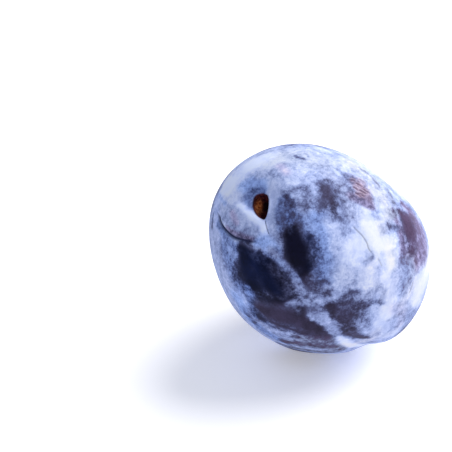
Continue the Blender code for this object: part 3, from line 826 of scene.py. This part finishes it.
def skin_material():
    n = Nodes("bloomed_skin")
    where = n.node("ShaderNodeTexCoord").outputs["Object"]
    level = n.attribute("level").outputs["Fac"]
    scar = n.attribute("scar").outputs["Fac"]
    line = n.attribute("line").outputs["Fac"]
    wrinkle_fold_shade = n.attribute("wrinkle_fold_shade").outputs["Fac"]
    wrinkle_ridge_highlight = n.attribute("wrinkle_ridge_highlight").outputs["Fac"]
    calm = n.attribute("calm").outputs["Fac"]
    scar_lit_wall = n.attribute("scar_lit_wall").outputs["Fac"]
    scar_shaded_wall = n.attribute("scar_shaded_wall").outputs["Fac"]
    skin = n.attribute("skin").outputs["Vector"]
    cast = n.attribute("cast").outputs["Vector"]

    cloud = n.noise(where, 7.0, 2.0, 0.5)
    patch = n.noise(where, 3.0, 3.0, 0.55, 0.2, (0.1, 0.2, 0.3))
    fleck = n.noise(where, 1.00, 3.0, 0.62, 0.3, (0.5, 0.1, 0.7))
    grain = n.noise(where, 0.36, 2.0, 0.6, 0.0, (0.3, 0.9, 0.2))

    def centred(x, k):
        return n.math("MULTIPLY", n.math("SUBTRACT", x, 0.5), k)

    def total(*terms):
        out = terms[0]
        for t in terms[1:]:
            out = n.math("ADD", out, t)
        return out

    # the mottle is strongest where the bloom is half rubbed off
    speckle = total(centred(patch, 0.8), centred(fleck, 1.05), centred(grain, 0.55))
    torn = n.math("MULTIPLY", n.math("MULTIPLY", level, n.math("SUBTRACT", 1.0, level)), 4.0, clamp=True)
    amount = n.math("ADD", 0.12, n.math("MULTIPLY", torn, 0.70))
    amount = n.math("MULTIPLY", amount, n.math("SUBTRACT", 1.0, n.math("MULTIPLY", calm, 0.4)))
    thick = total(level, n.math("MULTIPLY", speckle, amount), centred(cloud, 0.22))
    thick = n.math("ADD", thick, 0.0, clamp=True)

    bloom = n.ramp(thick, (
        (0.00, (0.034, 0.036, 0.088)), (0.20, (0.066, 0.073, 0.160)), (0.36, (0.125, 0.150, 0.300)),
        (0.52, (0.220, 0.270, 0.485)), (0.68, (0.325, 0.390, 0.650)), (0.84, (0.450, 0.515, 0.760)),
        (1.00, (0.600, 0.645, 0.790))))
    skin_spots = n.node("ShaderNodeVectorMath", operation="SCALE")
    n.put(skin_spots.inputs[0], skin)
    n.put(skin_spots.inputs["Scale"], total(1.0, centred(patch, 1.6), centred(grain, 0.8)))
    skin = skin_spots.outputs[0]
    leant = n.node("ShaderNodeMix", data_type="RGBA", blend_type="MULTIPLY")
    leant.inputs[0].default_value = 1.0
    n.put(leant.inputs[6], bloom)
    n.put(leant.inputs[7], cast)
    colour = n.mix(n.step(-0.02, 0.46, thick), skin, leant.outputs[2])
    # painted highlight on the wrinkles' ridges, painted shade in their folds
    colour = n.mix(n.math("MULTIPLY", wrinkle_ridge_highlight, 0.42), colour, (0.52, 0.39, 0.47))
    colour = n.mix(n.math("MULTIPLY", wrinkle_fold_shade, 0.75), colour, (0.12, 0.060, 0.10))
    # the dark lines, with painted shade along the crease
    colour = n.mix(line, colour, (0.012, 0.014, 0.050))

    # the scar: dry amber fibres, dark towards its rim; the amber is brightest in a painted pool of light on its
    # lower-left inner wall, and its right inner wall gets painted shade, almost black
    fibre = n.noise(where, 0.6, 4.0, 0.68, 1.2, (0.9, 0.4, 0.6))
    amber = n.ramp(fibre, ((0.34, (0.13, 0.024, 0.010)), (0.48, (0.66, 0.165, 0.045)), (0.62, (0.95, 0.42, 0.17))))
    crust = n.ramp(fibre, ((0.36, (0.010, 0.003, 0.009)), (0.52, (0.042, 0.007, 0.013)), (0.70, (0.130, 0.022, 0.022))))
    colour = n.mix(scar, colour, n.mix(n.math("MULTIPLY", scar_shaded_wall, 0.92), n.mix(scar_lit_wall, crust, amber), (0.004, 0.002, 0.004)))
    n.put(n.shader.inputs["Base Color"], colour)

    dull = total(0.46, n.math("MULTIPLY", thick, 0.36), centred(fleck, 0.10))
    n.put(n.shader.inputs["Roughness"], dull)
    n.shader.inputs["Specular IOR Level"].default_value = 0.04
    n.shader.inputs["Sheen Weight"].default_value = 0.0

    height = total(n.math("MULTIPLY", fleck, 0.5), n.math("MULTIPLY", grain, 0.35))
    bump = n.node("ShaderNodeBump")
    bump.inputs["Strength"].default_value = 0.35
    bump.inputs["Distance"].default_value = 0.00008
    n.put(bump.inputs["Height"], height)
    n.put(n.shader.inputs["Normal"], bump.outputs[0])
    return n.material


plum = make_fruit()
plum.data.materials.append(skin_material())
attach(plum, "root")
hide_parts("fruit")


# ------------------------------------------------------------------ floor, light and camera
def floor():
    bm = bmesh.new()
    bmesh.ops.create_grid(bm, x_segments=1, y_segments=1, size=3.0)
    mesh = bpy.data.meshes.new("floor")
    bm.to_mesh(mesh)
    bm.free()
    n = Nodes("pale_floor")
    n.shader.inputs["Base Color"].default_value = (0.86, 0.86, 0.88, 1.0)
    n.shader.inputs["Roughness"].default_value = 0.6
    n.shader.inputs["Specular IOR Level"].default_value = 0.2
    n.shader.inputs["Emission Color"].default_value = (0.93, 0.92, 1.0, 1.0)
    n.shader.inputs["Emission Strength"].default_value = 0.30
    mesh.materials.append(n.material)
    made = bpy.data.objects.new("floor", mesh)
    bpy.context.scene.collection.objects.link(made)


def panel(name, side, ahead, up, size, power, colour, aim=(0.0, 0.0, 0.02)):
    """A soft panel: side and ahead as the camera sees them, metres."""
    level = np.array([BACK[0], BACK[1], 0.0]) / math.hypot(BACK[0], BACK[1])
    spot = RIGHT * side - level * ahead + np.array([0, 0, up])
    light = bpy.data.lights.new(name, "AREA")
    light.shape, light.size = "DISK", size
    light.energy, light.color = power, colour
    made = bpy.data.objects.new(name, light)
    made.location = Vector(spot)
    made.rotation_euler = (Vector(spot) - Vector(aim)).to_track_quat("Z", "Y").to_euler()
    bpy.context.scene.collection.objects.link(made)


floor()
panel("key", 0.62, 0.36, 0.80, 1.10, 19.0, (1.0, 0.98, 0.94))
panel("front", -0.15, -1.00, 0.80, 1.00, 2.5, (0.97, 0.98, 1.0))

world = bpy.data.worlds.new("studio")
bpy.context.scene.world = world
world.use_nodes = True
world.node_tree.nodes["Background"].inputs["Color"].default_value = (0.84, 0.90, 1.0, 1.0)
world.node_tree.nodes["Background"].inputs["Strength"].default_value = 0.50

camera = bpy.data.cameras.new("camera")
camera.sensor_fit, camera.sensor_width = "HORIZONTAL", 36.0
camera.lens = FOCAL_PX / 452 * 36.0
camera.clip_start = 0.01
eye = bpy.data.objects.new("camera", camera)
place = np.eye(4)
place[:3, 0], place[:3, 1], place[:3, 2], place[:3, 3] = RIGHT, UP, BACK, EYE * MM
from mathutils import Matrix
eye.matrix_world = Matrix(place.tolist())
bpy.context.scene.collection.objects.link(eye)
bpy.context.scene.camera = eye
bpy.context.scene.view_settings.view_transform = "Standard"
